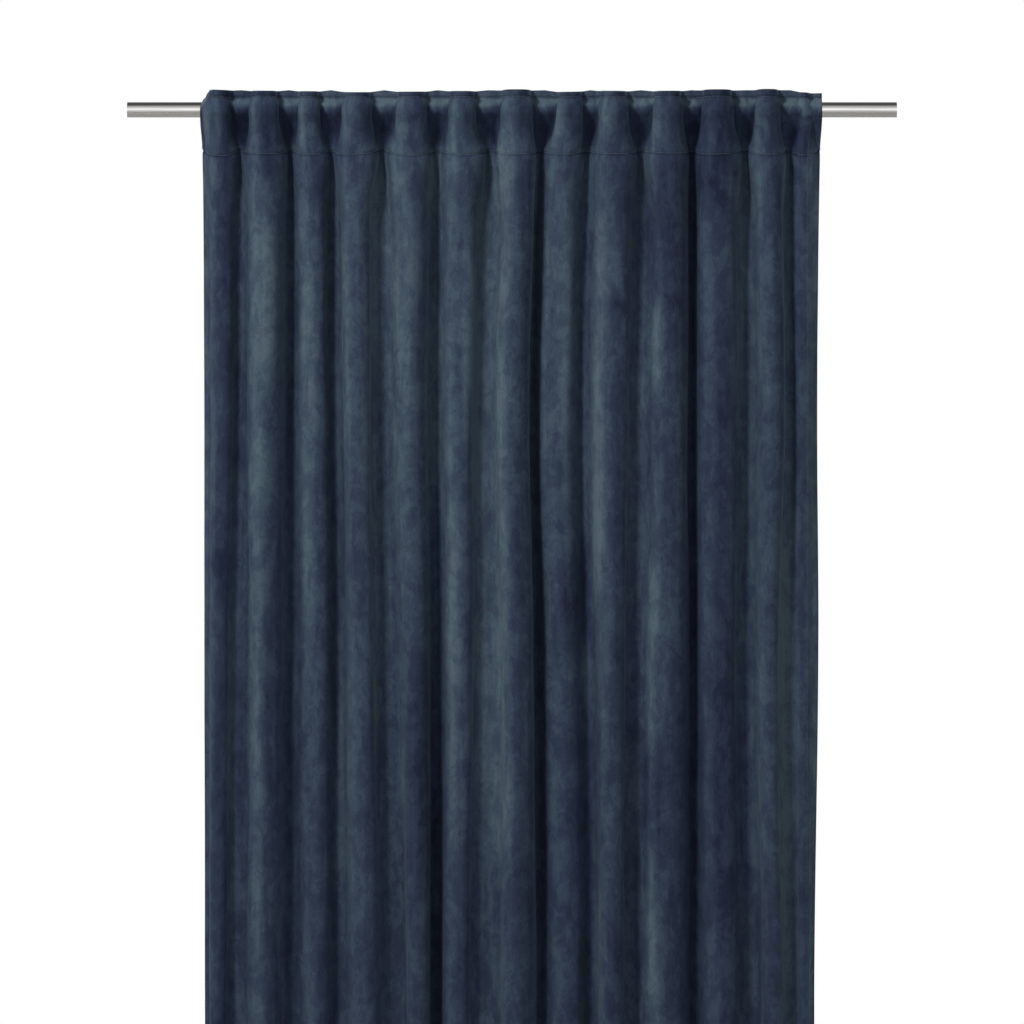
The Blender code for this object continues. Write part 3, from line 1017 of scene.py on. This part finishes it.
@dataclass
class CurtainPanel:
    """The velvet panel: one sheet with its heading, its turned sides and its bottom hem."""

    velvet: Velvet
    woven_back: WovenBack
    thickness: float = 0.002
    top_edge: float = -0.028
    top_stitch: float = -0.018
    lower_stitch: float = 0.058
    hem: float = 2.372
    hem_depth: float = 0.080
    side_turn: float = 0.022
    heading_turn: float = 0.064
    seam_groove: float = 0.0016
    seam_width: float = 0.0022
    # The turned edge inside the lower seam lifts the cloth over it
    turn_lift: float = 0.0005
    turn_height: float = 0.008
    # The soft unevenness: its size, the bumps a metre across and down, slow and quick, and
    # how strong the quick ones are
    unevenness: float = 0.0012
    slow_bumps: tuple[float, float] = (26.0, 4.5)
    quick_bumps: tuple[float, float] = (75.0, 13.0)
    quick_share: float = 0.35
    # The heading's double cloth is calmer, by this share at its top
    calm_height: float = 0.12
    calm_share: float = 0.15
    # How dark the painted shade is in a hollow's depth, in the heading and at its own hollow
    # below
    hollow_painted_shade: float = 0.30
    heading_painted_shade: float = 0.35
    heading_end: float = 0.040
    heading_fade: float = 0.030
    # The strip over the rod is open to the light from above, so the painted hollow shade darkens
    # it by only this share
    strip_height: float = 0.012
    strip_share: float = 0.35
    # A lump over the rod is this wide to each side, and its painted light sags by this in its
    # middle
    lump_half: float = 0.016
    lump_bowl: float = 0.009
    lump_foot: float = 0.172
    lump_step: float = 0.0005
    # How crisply a hollow's painted light on its lump and the painted shade in the pocket under
    # it end at the folds
    pocket_edge: float = 5.0
    least_gap: float = 1e-6
    # How much darker the creases' troughs and paler their ridges are painted, by each millimetre
    # of their height
    crease_painted_shade: float = 0.09
    surface: np.ndarray = field(init=False, repr=False)
    across: np.ndarray = field(init=False, repr=False)
    row_drops: np.ndarray = field(init=False, repr=False)

    def drops(self) -> np.ndarray:
        """The drops of the rows, close together in the heading and at each seam.

        They stand 2.6 to 3 mm apart in the heading, 6 mm below it, and 15 to 45 mm apart
        further down, with a finer set across each seam's groove and at both edges.
        """
        seam = np.array((-0.006, -0.0035, -0.0015, 0.0, 0.0015, 0.0035, 0.006))
        rows = np.concatenate((
            [self.top_edge, self.top_edge + 0.0012],
            np.arange(self.top_edge + 0.004, self.top_stitch - 0.004, 0.003),
            self.top_stitch + seam[1:-1],
            np.arange(self.top_stitch + 0.0055, self.lower_stitch - 0.007, 0.0026),
            self.lower_stitch + seam,
            np.arange(self.lower_stitch + 0.010, 0.150, 0.006),
            np.arange(0.158, 1.310, 0.0145),
            np.arange(1.350, self.hem - self.hem_depth - 0.010, 0.045),
            self.hem - self.hem_depth + seam[[0, 2, 3, 4, 6]],
            np.arange(self.hem - self.hem_depth + 0.020, self.hem - 0.006, 0.018),
            [self.hem - 0.0015, self.hem],
        ))
        return np.unique(np.round(rows, 5))

    def relief(self, x: np.ndarray, z: np.ndarray) -> np.ndarray:
        """How far the creases stand out of the cloth.

        Args:
            x: places along the rod, in metres.
            z: heights, in metres.

        Returns:
            The height of the relief at each place, in metres.
        """
        height = np.zeros_like(x)
        for crease in CREASES:
            start = np.array((crease.x_start, crease.z_start)) * MM
            run = np.array((crease.x_end, crease.z_end)) * MM - start
            length = float(np.hypot(*run))
            from_start = np.stack((x - start[0], z - start[1]), axis=-1)
            along = from_start @ run / length**2
            aside = (from_start[..., 0] * run[1] - from_start[..., 1] * run[0]) / length
            past = (along - np.clip(along, 0.0, 1.0)) * length
            ends = np.clip(np.sin(np.clip(along, 0.0, 1.0) * math.pi), 0.0, 1.0) ** 0.5
            distance = np.hypot(aside, past) / (crease.width * MM)
            height += crease.height * MM * ends * np.exp(-(distance**2))
        return height

    def wander(self, across: np.ndarray, drops: np.ndarray) -> np.ndarray:
        """Soft unevenness of hanging cloth.

        Args:
            across: distances across the flat cloth, in metres.
            drops: the drops of the rows, in metres.

        Returns:
            How far the cloth stands out at each point, in metres.
        """
        values = np.empty((len(drops), len(across)))
        for i, drop in enumerate(drops):
            for j, place in enumerate(across):
                slow = noise.noise(Vector((place * self.slow_bumps[0],
                                           drop * self.slow_bumps[1], 0.0)))
                quick = noise.noise(Vector((place * self.quick_bumps[0],
                                            drop * self.quick_bumps[1], 7.0)))
                values[i, j] = slow + self.quick_share * quick
        return values * self.unevenness

    def nap_and_shade(self, x: np.ndarray, z: np.ndarray) -> np.ndarray:
        """How the patches shade the pile, where it is brushed another way and with painted light
        and shade.

        Args:
            x: places along the rod, in metres.
            z: heights, in metres.

        Returns:
            The shade at each place, above zero where it is lighter.
        """
        shade = np.zeros_like(x)
        for patch in NAP_AND_SHADE_PATCHES:
            aside = (x / MM - patch.x) / patch.half_width
            up = (z / MM - patch.z) / patch.half_height
            shade += patch.shade * np.exp(-(aside**2) - up**4)
        return shade

    def openness(self, place: np.ndarray) -> np.ndarray:
        """How open the cloth lies to the room, from 0 deep in a hollow to 1 on a crest.

        Args:
            place: the points by row.

        Returns:
            The openness of each point.
        """
        made = np.empty(place.shape[:2])
        for number, (x, y) in enumerate(zip(place[..., 0], place[..., 1])):
            aside, ahead = x[None, :] - x[:, None], y[:, None] - y[None, :]
            slope = np.arctan2(ahead, np.abs(aside) + self.least_gap)
            right = np.where(aside > self.least_gap, slope, 0.0).max(axis=1)
            left = np.where(aside < -self.least_gap, slope, 0.0).max(axis=1)
            made[number] = (np.cos(right) + np.cos(left)) / 2
        return made

    def tone(self, rows: np.ndarray, drops: np.ndarray) -> np.ndarray:
        """How pale the pile is at each point, below zero where it is dark: its nap patches, with
        painted light and shade at the seams, across the folds, on the creases, on the lumps, in
        the pockets and deep in the hollows.

        Args:
            rows: the fold plan's rows.
            drops: the drop of each row.

        Returns:
            The tone at each point.
        """
        x, z, depth, own_painted_shade, face, aside = (rows[..., i] for i in (0, 2, 4, 5, 6, 7))
        # Where the hollows' painted light on the lumps and painted shade in the pockets fall,
        # read by drop, the light sagging in each lump's middle
        in_hollow = np.clip((depth - 0.5) * self.pocket_edge, 0.0, 1.0)
        fine = np.arange(self.top_edge, self.lump_foot, self.lump_step)
        lump = np.array([smooth_table(HOLLOW_PAINTED_LIGHT, float(drop)) for drop in fine])
        sunk = np.clip(1 + drops / self.lump_half, 0.0, 1.0)[:, None]
        bowl = drops[:, None] + self.lump_bowl * sunk * (aside / self.lump_half) ** 2
        # Painted light and shade at the seams and further down
        painted_seam_light = np.array([smooth_table(SEAM_PAINTED_LIGHT, float(drop)) for drop in drops])[:, None]
        below = np.clip((drops - self.heading_end) / self.heading_fade, 0.0, 1.0)[:, None]
        dark = self.heading_painted_shade + (own_painted_shade - self.heading_painted_shade) * below
        calm = np.clip((drops - self.top_edge) / self.strip_height, self.strip_share,
                       1.0)[:, None]
        # Painted shade, darkest deep in the hollows where the cloth is least open to the room
        deep = self.hollow_painted_shade * (1 - self.openness(rows)) * dark * calm
        # Painted shade in the creases' troughs and painted light on their ridges, added to the
        # nap patches and the rest of the painted light
        painted_crease_shade = self.relief(x, z) / MM * self.crease_painted_shade
        return (self.nap_and_shade(x, z) + painted_seam_light - deep + face + painted_crease_shade
                + np.interp(bowl, fine, lump) * in_hollow)

    def points(self, plan: FoldPlan) -> tuple[np.ndarray, np.ndarray, np.ndarray, np.ndarray]:
        """Every point of the sheet's middle.

        Args:
            plan: the folds.

        Returns:
            The points by row, the distance across the cloth, the drops, and the pile's tone,
            with its painted light and shade, at each point.
        """
        drops = self.drops()
        rows = np.stack([plan.row(float(drop)) for drop in drops])
        across = rows[0, :, 3]
        place = rows[:, :, :3]
        offset = self.relief(place[..., 0], place[..., 2])
        calm = np.clip((drops - self.top_stitch) / self.calm_height, self.calm_share,
                       1.0)[:, None]
        offset += self.wander(across, drops) * calm
        for seam in (self.top_stitch, self.lower_stitch, self.hem - self.hem_depth):
            near = np.exp(-(((drops - seam) / self.seam_width) ** 2))
            offset -= self.seam_groove * near[:, None]
        above = (drops < self.lower_stitch) & (drops > self.lower_stitch - self.turn_height)
        offset[above] += self.turn_lift
        return (place + outward_of(place) * offset[..., None], across, drops,
                self.tone(rows, drops))

    def build(self, plan: FoldPlan) -> bpy.types.Object:
        """Build the sheet and give it its thickness.

        Args:
            plan: the folds.

        Returns:
            The panel.
        """
        place, across, drops, tone = self.points(plan)
        self.surface, self.across, self.row_drops = place, across, drops
        panel = add_piece("velvet_panel", place.reshape(-1, 3).tolist(),
                          grid_faces(*place.shape[:2]))
        mesh = panel.data
        self.lay_flat(mesh)
        # The nap with its painted light and shade, kept at each point
        mesh.attributes.new("pile_tone", "FLOAT", "POINT").data.foreach_set(
            "value", tone.ravel())
        mesh.materials.append(self.velvet.material())
        mesh.materials.append(self.woven_back.material())
        thicken(panel, self.thickness, back_material=1)
        self.turn_over(panel)
        mesh.shade_smooth()
        return panel

    def lay_flat(self, mesh: bpy.types.Mesh) -> None:
        """Give the sheet the UV map of its flat cut, from its lower left corner.

        Args:
            mesh: the sheet's mesh, before it has its thickness.
        """
        across, drops = self.across, self.row_drops
        loops = np.empty(len(mesh.loops), dtype=np.int32)
        mesh.loops.foreach_get("vertex_index", loops)
        row, column = loops // len(across), loops % len(across)
        flat = np.stack((across[column] / across[-1],
                         1 - (drops[row] - drops[0]) / (drops[-1] - drops[0])), axis=1)
        mesh.uv_layers.new(name="cloth").data.foreach_set("uv", flat.ravel())

    def turn_over(self, panel: bpy.types.Object) -> None:
        """Show the pile on the back where the heading, the sides and the hem are turned.

        Args:
            panel: the panel, with its thickness.
        """
        mesh = panel.data
        uv = mesh.uv_layers["cloth"].data
        width, length = self.across[-1], self.row_drops[-1] - self.row_drops[0]
        for face in mesh.polygons:
            if face.material_index != 1:
                continue
            middle = sum((uv[i].uv for i in face.loop_indices), Vector((0.0, 0.0)))
            middle /= face.loop_total
            aside = min(middle.x, 1 - middle.x) * width
            from_top = (1 - middle.y) * length
            turned = (aside < self.side_turn
                      or from_top < self.heading_turn - self.top_edge
                      or length - from_top < self.hem_depth)
            face.material_index = 0 if turned else 1

    def dress(self, panel: bpy.types.Object, rests_on: str,
              with_pieces: list[bpy.types.Object]) -> None:
        """Ride the panel on the frame.

        Args:
            panel: the panel.
            rests_on: what it hangs from; not used.
            with_pieces: the stitching on it; not used.
        """
        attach(panel, "root")
        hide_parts("curtain_panel")


class SeamKind(Enum):
    """The panel's rows of stitching."""

    TOP = "top_stitches"
    LOWER = "lower_stitches"
    HEM = "hem_stitches"
    SIDES = "side_stitches"


@dataclass
class Stitching:
    """Rows of lockstitch, each a line of short threads on the face of the cloth."""

    thread: SewingThread
    pitch: float = 0.0034
    stitch_length: float = 0.0026
    stitch_width: float = 0.0008
    side_inset: float = 0.018
    seam_start: float = 0.006
    ahead: float = 0.0005
    # How far a stitch's middle stands out of the pile, in its widths: a row of the heading
    # lies on the pile, and the hems' blind stitches are sunk in it
    proud: float = 0.15
    blind: float = -0.38

    def pattern(self) -> tuple[np.ndarray, list[list[int]]]:
        """Model one stitch along X at the origin.

        Returns:
            Its points and its faces.
        """
        deselect_all()
        bpy.ops.mesh.primitive_uv_sphere_add(segments=6, ring_count=4, radius=0.5)
        stitch = bpy.context.object
        bpy.ops.object.mode_set(mode="EDIT")
        bpy.ops.mesh.select_all(action="SELECT")
        bpy.ops.transform.rotate(value=math.pi / 2, orient_axis="Y",
                                 center_override=(0.0, 0.0, 0.0))
        bpy.ops.transform.resize(value=(self.stitch_length, self.stitch_width,
                                        self.stitch_width),
                                 center_override=(0.0, 0.0, 0.0))
        bpy.ops.object.mode_set(mode="OBJECT")
        mesh = stitch.data
        points = np.array([tuple(v.co) for v in mesh.vertices])
        faces = [list(face.vertices) for face in mesh.polygons]
        bpy.data.objects.remove(stitch)
        return points, faces

    def line(self, panel: CurtainPanel, kind: SeamKind) -> list[tuple[np.ndarray, np.ndarray]]:
        """The lines that a row of stitching follows, on the middle of the sheet.

        Args:
            panel: the built panel.
            kind: which row.

        Returns:
            Pairs of the line's points and the cloth's outward direction at each.
        """
        place, outward = panel.surface, outward_of(panel.surface)
        if kind is SeamKind.SIDES:
            columns = [int(np.abs(panel.across - at).argmin())
                       for at in (self.side_inset, panel.across[-1] - self.side_inset)]
            return [(place[:, column], outward[:, column]) for column in columns]
        drop = {SeamKind.TOP: panel.top_stitch, SeamKind.LOWER: panel.lower_stitch,
                SeamKind.HEM: panel.hem - panel.hem_depth}[kind]
        row = int(np.abs(panel.row_drops - drop).argmin())
        return [(place[row], outward[row])]

    def along_line(self, wanted: np.ndarray, lengths: np.ndarray,
                   values: np.ndarray) -> np.ndarray:
        """Three-part values at the wanted lengths along a line."""
        return np.stack([np.interp(wanted, lengths, values[:, i]) for i in range(3)], 1)

    def build(self, panel: CurtainPanel, kind: SeamKind) -> bpy.types.Object:
        """Lay one row of stitches on the panel.

        Args:
            panel: the built panel.
            kind: which row.

        Returns:
            The stitches, one piece.
        """
        pattern, pattern_faces = self.pattern()
        points, faces = [], []
        for line, outward in self.line(panel, kind):
            steps = np.linalg.norm(np.diff(line, axis=0), axis=1)
            lengths = np.concatenate(([0.0], np.cumsum(steps)))
            wanted = np.arange(self.seam_start, lengths[-1] - self.seam_start, self.pitch)
            centre = self.along_line(wanted, lengths, line)
            up = self.along_line(wanted, lengths, outward)
            along = self.along_line(wanted + self.ahead, lengths, line) - centre
            along /= np.linalg.norm(along, axis=1, keepdims=True)
            side = np.cross(up, along)
            side /= np.linalg.norm(side, axis=1, keepdims=True)
            sunk = self.blind if kind in (SeamKind.HEM, SeamKind.SIDES) else self.proud
            centre = centre + up * (panel.thickness / 2 + self.stitch_width * sunk)
            for origin, x_axis, y_axis in zip(centre, along, side):
                z_axis = np.cross(x_axis, y_axis)
                first = len(points) * len(pattern)
                points.append(origin + pattern @ np.stack((x_axis, y_axis, z_axis)))
                faces.extend([[first + i for i in face] for face in pattern_faces])
        row = add_piece(kind.value, np.concatenate(points).tolist(), faces)
        row.data.shade_smooth()
        row.data.materials.append(self.thread.material())
        return row

    def dress(self, row: bpy.types.Object) -> None:
        """Ride a row of stitches on the frame."""
        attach(row, "root")


@dataclass
class BackTabs:
    """The twelve tape tabs behind the heading, each round the back of the rod."""

    tape: WovenTape
    width: float = 0.030
    thickness: float = 0.0012
    top_seam: float = 0.003
    low_seam: float = 0.006
    foot_lean: float = 0.1
    touch: float = 0.0003
    rod_radius: float = 0.011
    steps: int = 28
    across: int = 8
    # How far the tape strays from straight, and how quickly along it and across it
    slip: float = 0.0004
    slip_waves: tuple[float, float] = (40.0, 3.0)
    slip_seed: float = 3.1

    def tangent(self, y: float, z: float, radius: float) -> float:
        """Angle about the rod at which a line from a point first touches the rod's back."""
        reach = math.acos(radius / math.hypot(y, z))
        return math.atan2(z, y) - math.copysign(reach, z)

    def path(self, panel: CurtainPanel) -> list[tuple[float, float]]:
        """Middle line of a tab.

        Args:
            panel: the panel that it is sewn to.

        Returns:
            Y and Z of its points, from its top seam round the rod to its foot.
        """
        behind = (panel.thickness + self.thickness) / 2 + self.touch

        def cloth_y(drop: float) -> float:
            """Where the cloth of a hollow lies at a drop."""
            return (smooth_table(HOLLOW_TUCK, drop) - smooth_table(CLOTH_LINE, drop)) * MM

        top_y = behind + cloth_y(panel.top_stitch)
        low_y = behind + cloth_y(panel.lower_stitch)
        top_z, low_z = -panel.top_stitch, -panel.lower_stitch
        radius = self.rod_radius + self.touch + self.thickness / 2
        first = self.tangent(top_y, top_z, radius)
        last = self.tangent(low_y, low_z, radius)
        round_rod = [(radius * math.cos(angle), radius * math.sin(angle))
                     for angle in np.linspace(first, last, self.steps + 1).tolist()]
        return [(top_y, top_z + self.top_seam), (top_y, top_z), *round_rod, (low_y, low_z),
                (low_y + self.foot_lean * self.low_seam, low_z - self.low_seam)]

    def build(self, number: int, x: float, panel: CurtainPanel) -> bpy.types.Object:
        """Build one tab as a strip of tape.

        Args:
            number: which tab, from 1.
            x: where it stands along the rod, in metres.
            panel: the panel that it is sewn to.

        Returns:
            The tab.
        """
        path = self.path(panel)
        points = []
        for y, z in path:
            for i in range(self.across + 1):
                share = i / self.across - 0.5
                slip = self.slip * noise.noise(Vector((
                    number * self.slip_seed, z * self.slip_waves[0], share * self.slip_waves[1])))
                points.append((x + share * self.width + slip, y, z))
        tab = add_piece(f"tape_tab_{number:02d}", points,
                        grid_faces(len(path), self.across + 1))
        mesh = tab.data
        mesh.materials.append(self.tape.material() if number == 1
                              else bpy.data.materials[self.tape.name])
        thicken(tab, self.thickness)
        mesh.shade_smooth()
        mesh.set_sharp_from_angle(angle=math.radians(50))
        return tab

    def length(self, panel: CurtainPanel) -> float:
        """How long the tape of a tab is, in metres."""
        line = np.array(self.path(panel))
        return float(np.linalg.norm(np.diff(line, axis=0), axis=1).sum())

    def dress(self, tab: bpy.types.Object, number: int, panel: CurtainPanel,
              rests_on: str) -> None:
        """Ride a tab on the frame.

        Args:
            tab: the tab.
            number: which tab, from 1.
            panel: the panel that it is sewn to.
            rests_on: what it goes round; not used.
        """
        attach(tab, "root")
        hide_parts(f"back_tab_{number:02d}")
        self.length(panel)


@dataclass
class CurtainRod:
    """The round steel tube, with a plug in each end."""

    steel: BrushedSteel
    plug: EndPlug
    diameter: float = 0.022
    length: float = 1.100
    wall: float = 0.0012
    plug_depth: float = 0.0006
    rim: float = 0.0004
    sides: int = 96
    # A face whose normal lies this far along X is an end's
    end_on: float = 0.9

    def build(self) -> bpy.types.Object:
        """Build the tube with its recessed plugs.

        Returns:
            The rod.
        """
        deselect_all()
        bpy.ops.mesh.primitive_cylinder_add(
            vertices=self.sides, radius=self.diameter / 2, depth=self.length,
            rotation=(0.0, math.pi / 2, 0.0))
        rod = bpy.context.object
        rod.name = rod.data.name = "steel_rod"
        settle(rod)
        rod.data.materials.append(self.steel.material())
        rod.data.materials.append(self.plug.material())
        for side in (-1, 1):
            self.recess(rod, side)
        for face in rod.data.polygons:
            inside = abs(face.center.x) < self.length / 2 - self.plug_depth / 2
            if abs(face.normal.x) > self.end_on and inside:
                face.material_index = 1
        bevel = rod.modifiers.new("Rim", "BEVEL")
        bevel.width = self.rim
        bevel.segments = 2
        bevel.limit_method = "ANGLE"
        bevel.angle_limit = math.radians(60)
        select_only(rod)
        bpy.ops.object.modifier_apply(modifier=bevel.name)
        rod.data.shade_smooth()
        rod.data.set_sharp_from_angle(angle=math.radians(35))
        return rod

    def recess(self, rod: bpy.types.Object, side: int) -> None:
        """Set the plug of one end into the tube.

        Args:
            rod: the rod.
            side: 1 for the right end and -1 for the left.
        """
        select_only(rod)
        bpy.ops.object.mode_set(mode="EDIT")
        bpy.ops.mesh.select_all(action="DESELECT")
        bpy.ops.object.mode_set(mode="OBJECT")
        for face in rod.data.polygons:
            face.select = face.normal.x * side > self.end_on
        bpy.ops.object.mode_set(mode="EDIT")
        bpy.ops.mesh.select_mode(type="FACE")
        bpy.ops.mesh.inset(thickness=self.wall, depth=0.0)
        bpy.ops.mesh.extrude_region_move(
            TRANSFORM_OT_translate={"value": (-side * self.plug_depth, 0.0, 0.0)})
        bpy.ops.object.mode_set(mode="OBJECT")

    def dress(self, rod: bpy.types.Object) -> None:
        """Ride the rod on the frame.

        Args:
            rod: the rod.
        """
        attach(rod, "root")
        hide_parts("curtain_rod")


class Lamp(NamedTuple):
    """An area light: where it stands, what it points at and its width and height, in metres,
    its power in watts and its sRGB hex colour."""

    name: str
    place: tuple[float, float, float]
    target: tuple[float, float, float]
    size: tuple[float, float]
    power: float
    colour: str


@dataclass
class Studio:
    """The floor, the lights and the camera."""

    floor: PaintedFloor
    # A soft key from the front left above, a low fill and a light from behind
    lamps: tuple[Lamp, ...] = (
        Lamp("key", (-2.6, -3.4, 2.6), (0.0, 0.0, -0.7), (0.8, 0.8), 262.0, "#fffaf2"),
        Lamp("fill", (3.5, -6.0, 0.2), (0.0, 0.0, -0.9), (3.0, 3.0), 12.0, "#eef4ff"),
        Lamp("back", (2.6, 5.0, 2.4), (0.0, 0.0, -0.9), (3.0, 3.0), 330.0, "#f6f8ff"))
    floor_height: float = -2.392
    floor_size: float = 12.0
    floor_in_front: float = 2.0
    camera_distance: float = 10.0
    camera_height: float = -0.575
    lens: float = 245.9
    sensor: float = 36.0
    # The brightness of the room, by the angle about X in degrees, up from the front
    room_light: tuple[tuple[float, float], ...] = (
        (-180, 0.50), (-130, 0.35), (-50, 0.35), (-14, 0.40), (0, 0.62), (18, 0.50),
        (44, 0.30), (72, 0.08), (92, 0.08), (110, 0.56), (165, 0.56), (180, 0.50))
    mirrored_light: tuple[tuple[float, float], ...] = (
        (-180, 1.00), (-150, 0.80), (-118, 0.72), (-92, 0.54), (-72, 0.62), (-54, 0.62),
        (-38, 1.00), (-22, 1.16), (-7, 2.20), (8, 2.80), (23, 1.70), (38, 1.40), (54, 0.86),
        (71, 0.32), (90, 0.10), (113, 0.16), (146, 0.40), (180, 1.00))

    def build_floor(self) -> None:
        """Lay the pale floor under the hem."""
        deselect_all()
        bpy.ops.mesh.primitive_grid_add(
            x_subdivisions=12, y_subdivisions=12, size=self.floor_size,
            location=(0.0, self.floor_size / 2 - self.floor_in_front, self.floor_height))
        floor = bpy.context.object
        floor.name = "studio_floor"
        settle(floor)
        floor.data.materials.append(self.floor.material())

    def build_lights(self) -> None:
        """Set up the lamps, which the rod doesn't mirror."""
        for lamp in self.lamps:
            area = bpy.data.lights.new(lamp.name, "AREA")
            area.shape = "RECTANGLE"
            area.size, area.size_y = lamp.size
            area.energy = lamp.power
            area.color = srgb(lamp.colour)[:3]
            light = add_object(lamp.name, area)
            light.location = lamp.place
            aim = Vector(lamp.target) - Vector(lamp.place)
            light.rotation_euler = aim.to_track_quat("-Z", "Y").to_euler()
            light.visible_glossy = False

    def build_world(self) -> None:
        """Surround it all with white, and light it with a softer studio round the rod.

        The studio's brightness goes by the angle about X, so the rod mirrors a bright line in
        front of it, a dark ceiling over it and a grey floor under it. The lamps aren't seen
        in the rod.
        """
        world = bpy.data.worlds.new("studio")
        world.use_nodes = True
        bpy.context.scene.world = world
        tree = world.node_tree
        tree.nodes.clear()
        direction = add_node(tree, "ShaderNodeTexCoord").outputs["Generated"]
        parts = add_node(tree, "ShaderNodeSeparateXYZ", {0: direction})
        front = add_node(tree, "ShaderNodeMath", {0: parts.outputs["Y"], 1: -1.0},
                         operation="MULTIPLY")
        angle = add_node(tree, "ShaderNodeMath", {0: parts.outputs["Z"], 1: front.outputs[0]},
                         operation="ARCTAN2")
        turn = add_node(tree, "ShaderNodeMapRange", {
            0: angle.outputs[0], 1: -math.pi, 2: math.pi, 3: 0.0, 4: 1.0})
        shaders = []
        for levels in (self.room_light, self.mirrored_light):
            brightest = max(level for _, level in levels)
            around = add_node(tree, "ShaderNodeValToRGB", {"Fac": turn.outputs[0]})
            set_ramp(around, tuple((0.5 + degrees / 360, (level / brightest,) * 3 + (1.0,))
                                   for degrees, level in levels))
            shaders.append(add_node(tree, "ShaderNodeBackground", {
                "Color": around.outputs["Color"], "Strength": brightest}).outputs[0])
        white = add_node(tree, "ShaderNodeBackground", {
            "Color": (1.0, 1.0, 1.0, 1.0), "Strength": 1.0})
        rays = add_node(tree, "ShaderNodeLightPath")
        lit = add_node(tree, "ShaderNodeMixShader", {
            0: rays.outputs["Is Glossy Ray"], 1: shaders[0], 2: shaders[1]})
        seen = add_node(tree, "ShaderNodeMixShader", {
            0: rays.outputs["Is Camera Ray"], 1: lit.outputs[0], 2: white.outputs[0]})
        add_node(tree, "ShaderNodeOutputWorld", {0: seen.outputs[0]})

    def build_camera(self) -> None:
        """Stand the camera square in front of the curtain's upper part."""
        lens = bpy.data.cameras.new("camera")
        lens.lens = self.lens
        lens.sensor_width = self.sensor
        camera = add_object("camera", lens)
        camera.location = (0.0, -self.camera_distance, self.camera_height)
        camera.rotation_euler = (math.pi / 2, 0.0, 0.0)
        bpy.context.scene.camera = camera

    def build(self) -> None:
        """Build the studio and set how its light becomes a picture."""
        self.build_floor()
        self.build_world()
        self.build_lights()
        self.build_camera()
        bpy.context.scene.view_settings.view_transform = "Standard"


def main() -> None:
    """Build the curtain, piece by piece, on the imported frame."""
    logging.basicConfig(level=logging.INFO, format="%(message)s")
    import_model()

    plan = FoldPlan()
    rod_maker = CurtainRod(BrushedSteel(), EndPlug())
    rod = rod_maker.build()
    rod_maker.dress(rod)
    LOG.info("%s: %d faces", rod.name, len(rod.data.polygons))

    panel_maker = CurtainPanel(Velvet(), WovenBack())
    panel = panel_maker.build(plan)
    sewing = Stitching(SewingThread())
    rows = []
    for kind in SeamKind:
        row = sewing.build(panel_maker, kind)
        sewing.dress(row)
        rows.append(row)
        LOG.info("%s: %d faces", row.name, len(row.data.polygons))
    panel_maker.dress(panel, rod.name, rows)
    LOG.info("%s: %d faces", panel.name, len(panel.data.polygons))

    tabs = BackTabs(WovenTape())
    for number, fold in enumerate(FOLDS[1:], start=1):
        tab = tabs.build(number, fold.rod * MM, panel_maker)
        tabs.dress(tab, number, panel_maker, rod.name)
        LOG.info("%s: %d faces", tab.name, len(tab.data.polygons))

    Studio(PaintedFloor()).build()


if __name__ == "__main__":
    main()
